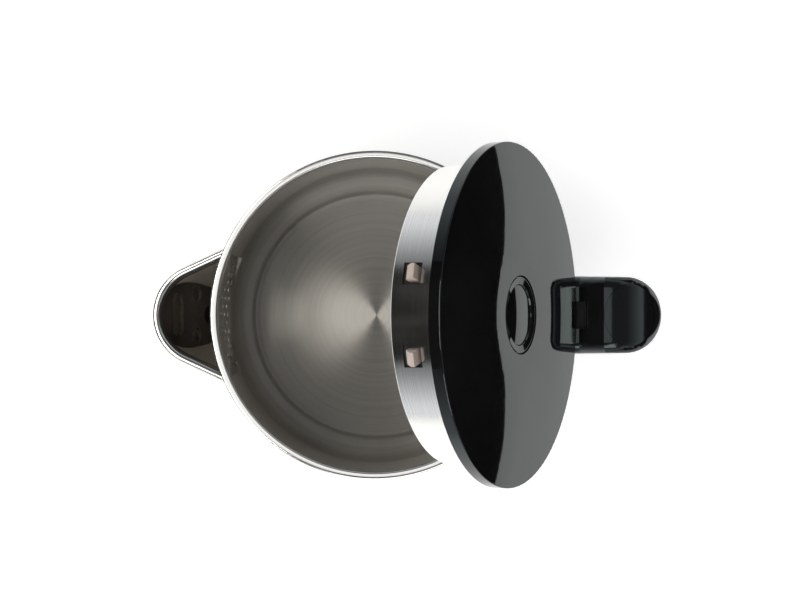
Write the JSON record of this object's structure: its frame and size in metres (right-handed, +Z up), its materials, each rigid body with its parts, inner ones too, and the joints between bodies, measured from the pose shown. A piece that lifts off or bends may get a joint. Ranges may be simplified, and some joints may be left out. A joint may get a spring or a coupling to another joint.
{
  "type": "electric kettle",
  "caption": "Cordless electric kettle on its power base: steel body, strainer spout, black handle and a hinged lid with a press button, drawn with the lid open.",
  "frame": {"origin": "on the kettle's vertical axis, on the surface that the power base's rubber ring stands on", "axes": "+Z up along the kettle's axis, +X towards the handle and the cord outlet, -X towards the spout, +Y across"},
  "size_m": [0.2353, 0.1592, 0.3317],
  "materials": {
    "brushed_steel": "fine circular brushing",
    "bright_steel": "polished stainless steel",
    "gloss_black": "high gloss",
    "matte_black": "fine satin texture",
    "liner_brown": "satin",
    "latch_beige": "satin",
    "rubber": "matt",
    "aluminium": "as cast",
    "contact_brass": "plain",
    "plain_steel": "zinc plated",
    "silicone": "soft",
    "wire": "plain",
    "lens": "translucent"
  },
  "bodies": {
    "power_base": {"base_shell": "gloss_black", "base_plate": "matte_black", "foot_ring": "rubber", "base_screws": "plain_steel", "cord_gland": "rubber"},
    "plug": {"base_plug": "matte_black", "plug_contacts": "contact_brass"},
    "kettle": {"collar": "gloss_black", "bottom_cover": "matte_black", "bottom_screws": "plain_steel", "control_unit": "matte_black", "socket_contacts": "contact_brass", "dry_boil_discs": "plain_steel", "heat_plate": "aluminium", "heating_element": "aluminium", "pot": "brushed_steel", "shell": "brushed_steel", "rim_ring": "bright_steel", "strainer": "brushed_steel", "spout": "bright_steel", "spout_liner": "liner_brown", "hinge_bracket": "matte_black", "hinge_pin": "plain_steel", "hinge_springs": "plain_steel", "handle_outer": "gloss_black", "handle_inner": "matte_black", "handle_cap": "gloss_black", "handle_screws": "plain_steel", "steam_tube": "silicone", "switch_box": "matte_black", "bimetal_disc": "plain_steel", "switch_pin": "plain_steel", "indicator_lens": "lens", "switch_wires": "wire"},
    "lid": {"lid_cover": "gloss_black", "lid_frame": "matte_black", "lid_skirt": "bright_steel", "lid_bottom": "brushed_steel", "lid_screws": "plain_steel", "button_spring": "plain_steel", "latch_springs": "plain_steel"},
    "lid_button": {"lid_button": "gloss_black"},
    "latch_left": {"latch_left": "latch_beige"},
    "latch_right": {"latch_right": "latch_beige"},
    "switch": {"switch_lever": "gloss_black"}
  },
  "joints": [
    {"name": "kettle_swivel", "type": "hinge", "parent": "power_base", "child": "plug", "pos_m": [0, 0, 0.02], "axis": [0, 0, 1], "continuous": true},
    {"name": "kettle_lift", "type": "slide", "parent": "plug", "child": "kettle", "axis": [0, 0, 1], "range_m": [0, 0.08]},
    {"name": "lid_hinge", "type": "hinge", "parent": "kettle", "child": "lid", "pos_m": [0.0835, 0, 0.18255], "axis": [0, 1, 0], "range_deg": [-65, 0], "stiffness_Nm_per_rad": 0.1, "springref_deg": 57.3},
    {"name": "lid_button_press", "type": "slide", "parent": "lid", "child": "lid_button", "axis": [-0.9063, 0, -0.4226], "range_m": [0, 0.003], "stiffness_N_per_m": 300, "springref_m": -0.003, "deforming": ["button_spring"]},
    {"name": "latch_left_slide", "type": "slide", "parent": "lid", "child": "latch_left", "axis": [0.4072, 0.2672, -0.8733], "range_m": [0, 0.003], "deforming": ["latch_springs"]},
    {"name": "latch_right_slide", "type": "slide", "parent": "lid", "child": "latch_right", "axis": [0.4072, -0.2672, -0.8733], "range_m": [0, 0.003]},
    {"name": "switch_press", "type": "hinge", "parent": "kettle", "child": "switch", "pos_m": [0.102, 0, 0.046], "axis": [0, 1, 0], "range_deg": [0, 14]}
  ],
  "couplings": [
    {"joint": "latch_left_slide", "follows": "lid_button_press", "ratio": 1},
    {"joint": "latch_right_slide", "follows": "lid_button_press", "ratio": 1}
  ]
}
